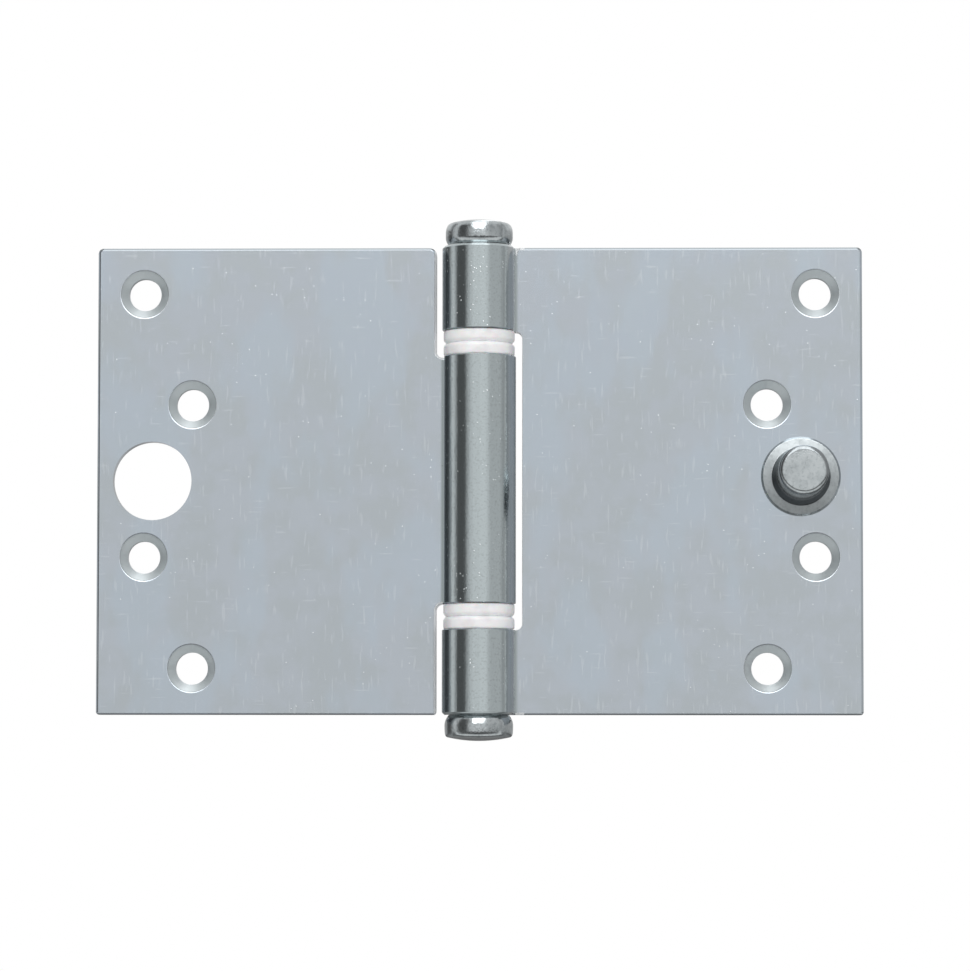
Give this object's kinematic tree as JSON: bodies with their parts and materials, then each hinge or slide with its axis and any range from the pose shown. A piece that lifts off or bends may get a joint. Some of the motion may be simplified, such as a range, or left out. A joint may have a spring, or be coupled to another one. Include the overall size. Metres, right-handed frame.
{
  "type": "security hinge",
  "caption": "Wide steel butt hinge laid open flat, with rolled knuckles, flanged plastic bushes, a button-tipped pin and a round security stud that enters a hole in the other leaf.",
  "frame": {"origin": "middle of the frame leaf's back face, which lies on the door frame", "axes": "+X from the pin across the frame leaf, +Y into the door frame, +Z along the pin towards its head"},
  "size_m": [0.1456, 0.0185, 0.0988],
  "materials": {
    "leaf_steel": "bright zinc plate on pressed steel, slightly mottled",
    "turned_steel": "bright zinc plate on turned steel",
    "bush_plastic": "white moulded plastic"
  },
  "bodies": {
    "frame_side": {"frame_leaf": "leaf_steel", "hinge_pin": "turned_steel", "lower_plug": "turned_steel", "upper_outer_bush": "bush_plastic", "lower_outer_bush": "bush_plastic", "security_stud": "turned_steel"},
    "door_side": {"door_leaf": "leaf_steel", "upper_inner_bush": "bush_plastic", "lower_inner_bush": "bush_plastic"}
  },
  "joints": [
    {"name": "leaf_hinge", "type": "hinge", "parent": "frame_side", "child": "door_side", "pos_m": [-0.04047, -0.0045, 0], "axis": [0, 0, 1], "range_deg": [-115, 180]}
  ]
}
